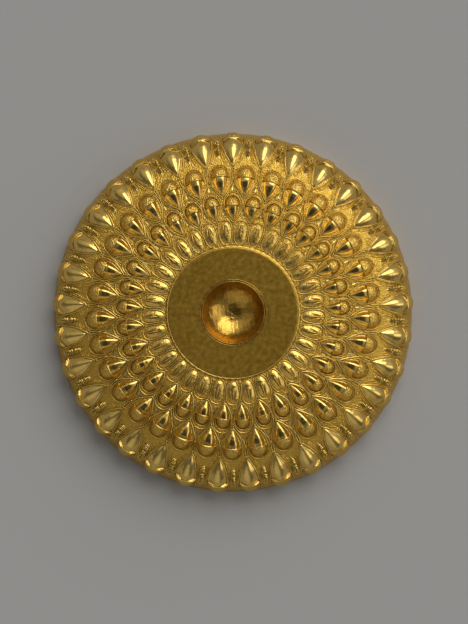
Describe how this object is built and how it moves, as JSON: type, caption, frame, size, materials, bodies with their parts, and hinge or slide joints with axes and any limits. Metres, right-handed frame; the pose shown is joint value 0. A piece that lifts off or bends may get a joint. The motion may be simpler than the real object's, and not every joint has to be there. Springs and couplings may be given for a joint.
{
  "type": "phiale",
  "caption": "Shallow gold libation bowl with a hollow central boss, lying mouth down, its underside worked in relief with rows of acorns, bees and beechnuts.",
  "frame": {"origin": "centre of the rim plane, on the surface that the bowl lies on, mouth down", "axes": "+Z along the bowl's axis, out of the decorated underside; +Y towards an acorn of the outer row, which is the top of the picture; +X to its right"},
  "size_m": [0.2332, 0.2328, 0.036],
  "materials": {
    "planished_gold": "gold sheet, hammered and planished smooth",
    "chased_gold": "gold sheet, raised from behind, chased and burnished, dark in its recesses",
    "scraped_gold": "gold sheet, scraped flat and satin, with fine turning marks",
    "worn_gold": "gold sheet, burnished and finely pitted by wear"
  },
  "bodies": {
    "root": {"lip": "planished_gold", "relief_wall": "chased_gold", "collar": "scraped_gold", "omphalos": "worn_gold"}
  },
  "joints": []
}
